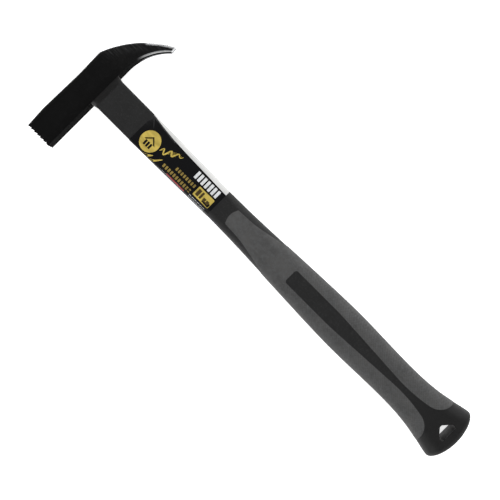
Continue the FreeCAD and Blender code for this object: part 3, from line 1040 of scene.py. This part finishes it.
@dataclass
class Head:
    """Forged head, with its eye's resin and the end of the core."""

    steel: ForgedBlack = ForgedBlack()
    # Painted shade: a darker, unreflective copy of the coating for the faces towards the handle.
    underside: ForgedBlack = ForgedBlack("forged_black_shaded", tone=0.0015, shine=0.02, rough=0.8)
    resin: CuredResin = CuredResin()
    fibre: GlassFibre = GlassFibre()
    edge_round: float = 0.22
    flat_angle: float = 1.0
    sharp_angle: float = 25.0
    bead_start: float = 10.3
    bead_half: Point2 = (12.5, 9.0)
    core_half: Point2 = (7.3, 5.3)
    eye_top: float = -9.25

    def build(self) -> list[bpy.types.Object]:
        """Build the head's pieces.

        Returns:
            The pieces.
        """
        return [self._forging(), self._bead(), dress_node("fiberglass_core", self.fibre.material())]

    def _forging(self) -> bpy.types.Object:
        """The forging, with a small round on every edge.

        Returns:
            The piece.
        """
        shape = bmesh.new()
        shape.from_mesh(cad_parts["hammer_head"].data)
        bmesh.ops.remove_doubles(shape, verts=shape.verts, dist=0.002 * MM)
        bmesh.ops.dissolve_limit(shape, angle_limit=math.radians(self.flat_angle),
                                 verts=shape.verts, edges=shape.edges)
        piece = new_piece("forged_head", self.steel.material(), shape,
                          self.sharp_angle)
        bevel = piece.modifiers.new("rounded_edges", "BEVEL")
        bevel.width = self.edge_round * MM
        bevel.segments = 2
        bevel.limit_method = "ANGLE"
        bevel.angle_limit = math.radians(self.sharp_angle)
        apply_modifiers(piece)
        # Painted shade: faces turned towards the handle take the darker copy of the coating.
        piece.data.materials.append(self.underside.material())
        for face in piece.data.polygons:
            face.material_index = int(face.normal.x > 0.5 and abs(face.normal.z) < 0.3)
        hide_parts("hammer_head")
        return piece

    def _bead(self) -> bpy.types.Object:
        """Resin squeezed out under the head, and the ring of it round the core's end.

        Returns:
            The piece.
        """
        shape = bmesh.new()
        rings, rows, steps = [], 8, 96
        length = NECK_START - self.bead_start
        for row in range(rows + 1):
            share = row / rows
            ring = []
            for step in range(steps):
                angle = 2 * math.pi * step / steps
                lip = noise.noise(Vector((math.cos(angle) * 2.2, math.sin(angle) * 2.2, 4.0)))
                x = self.bead_start + share * (length + 0.35 + 0.5 * lip)
                swell = 0.25 * math.sin(math.pi * share) * (1 + lip)
                grow = 0.12 + 0.95 * (1 - share) ** 2.2 + swell
                y, z = squircle(angle, self.bead_half[0] + grow, self.bead_half[1] + grow)
                ring.append(shape.verts.new(DATUM.at(x, y, z)))
            rings.append(ring)
        for low, high in zip(rings, rings[1:]):
            for j in range(steps):
                shape.faces.new([low[j], high[j], high[(j + 1) % steps], low[(j + 1) % steps]])
        shape.faces.new(rings[0])
        shape.faces.new(list(reversed(rings[-1])))
        self._meniscus(shape)
        piece = new_piece("resin_bead", self.resin.material(), shape, 50.0)
        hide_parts("eye_adhesive")
        return piece

    def _meniscus(self, shape: bmesh.types.BMesh) -> None:
        """Add the ring of resin that shows in the top of the eye.

        Args:
            shape: The mesh it is added to.
        """
        steps = 64
        profile = ((0.02, 0.0, 3.0), (0.02, 0.0, 0.0), (0.35, 0.12, 0.0), (0.85, 0.12, 0.0),
                   (1.18, -0.05, 0.0), (1.18, -0.05, 3.0))
        rings = []
        for grow, sink, deep in profile:
            ring = []
            for step in range(steps):
                y, z = squircle(2 * math.pi * step / steps, self.core_half[0] + grow,
                                self.core_half[1] + grow)
                ring.append(shape.verts.new(DATUM.at(self.eye_top + sink + deep, y, z)))
            rings.append(ring)
        for low, high in zip(rings, rings[1:] + rings[:1]):
            for j in range(steps):
                k = (j + 1) % steps
                shape.faces.new([low[j], low[k], high[k], high[j]])


def squircle(angle: float, half_y: float, half_z: float, power: float = 9.0) -> Point2:
    """Point on a rectangle with softly rounded corners.

    Args:
        angle: Direction from the middle.
        half_y: Half the width.
        half_z: Half the depth.
        power: Higher is squarer.

    Returns:
        The point.
    """
    c, s = math.cos(angle), math.sin(angle)
    reach = (abs(c / half_y) ** power + abs(s / half_z) ** power) ** (-1 / power)
    return c * reach, s * reach


# ---------------------------------------------------------------- studio


@dataclass
class Studio:
    """Pale floor, soft lights and the camera."""

    camera_height: float = 0.95
    frame_width: float = 0.35
    roll: float = 45.05
    aim: Point2 = (160.4, -7.2)
    sensor: float = 36.0
    floor_size: float = 6.0
    floor_white: float = 0.92
    floor_glow: float = 0.8
    surround: float = 0.22
    light_distance: float = 2.0
    lit_middle: float = 160.0
    lights: tuple[tuple[str, float, float, float, float], ...] = (
        ("key", 120.0, 30.0, 1.8, 34.0), ("fill", -60.0, 28.0, 1.8, 26.0),
        ("head_side", 180.0, 28.0, 1.4, 16.0), ("butt_side", 20.0, 28.0, 1.4, 14.0))

    def build(self) -> None:
        """Set up everything that isn't part of the hammer."""
        self._floor()
        self._world()
        self._lights()
        self._camera()
        bpy.context.scene.view_settings.view_transform = "Standard"

    def _floor(self) -> None:
        """Plain white floor under the hammer."""
        shape = bmesh.new()
        bmesh.ops.create_grid(shape, x_segments=2, y_segments=2, size=self.floor_size / 2)
        mesh = bpy.data.meshes.new("floor")
        shape.to_mesh(mesh)
        shape.free()
        g = Graph("floor_white")
        mesh.materials.append(g.finish(Base_Color=grey(self.floor_white), Roughness=0.9,
                                       Emission_Color=grey(1.0), Emission_Strength=self.floor_glow))
        floor = bpy.data.objects.new("floor", mesh)
        floor.location.z = CAD_BOX[0][2]
        bpy.context.scene.collection.objects.link(floor)

    def _world(self) -> None:
        """Even surrounding light."""
        world = bpy.data.worlds.new("studio")
        world.use_nodes = True
        background = world.node_tree.nodes["Background"]
        background.inputs["Color"].default_value = (1.0, 1.0, 1.0, 1.0)
        background.inputs["Strength"].default_value = self.surround
        bpy.context.scene.world = world

    def _lights(self) -> None:
        """Large soft panels round the hammer, so that no hard shadow falls."""
        target = DATUM.at(self.lit_middle, 0.0, 0.0)
        for name, azimuth, elevation, size, power in self.lights:
            light = bpy.data.lights.new(name, "AREA")
            light.size = size
            light.energy = power
            holder = bpy.data.objects.new(name, light)
            turn, lift = math.radians(azimuth), math.radians(elevation)
            away = Vector((math.cos(turn) * math.cos(lift), math.sin(turn) * math.cos(lift),
                           math.sin(lift)))
            holder.location = target + away * self.light_distance
            holder.rotation_euler = (-away).to_track_quat("-Z", "Y").to_euler()
            bpy.context.scene.collection.objects.link(holder)

    def _camera(self) -> None:
        """Camera straight above, turned so that the handle runs corner to corner."""
        lens = bpy.data.cameras.new("camera")
        lens.sensor_width = self.sensor
        lens.lens = self.sensor * self.camera_height / self.frame_width
        lens.clip_start = 0.01
        camera = bpy.data.objects.new("camera", lens)
        camera.location = DATUM.at(self.aim[0], self.aim[1], 0.0)
        camera.location.z += self.camera_height
        camera.rotation_euler = (0.0, 0.0, math.radians(self.roll))
        bpy.context.scene.collection.objects.link(camera)
        bpy.context.scene.camera = camera


def main() -> None:
    """Build the hammer and its studio, and report each piece."""
    logging.basicConfig(level=logging.INFO, format="%(name)s: %(message)s")
    Studio().build()
    pieces = Head().build() + Handle().build() + Label().build()
    LOG.info("%d pieces", len(pieces))


if __name__ == "__main__":
    main()
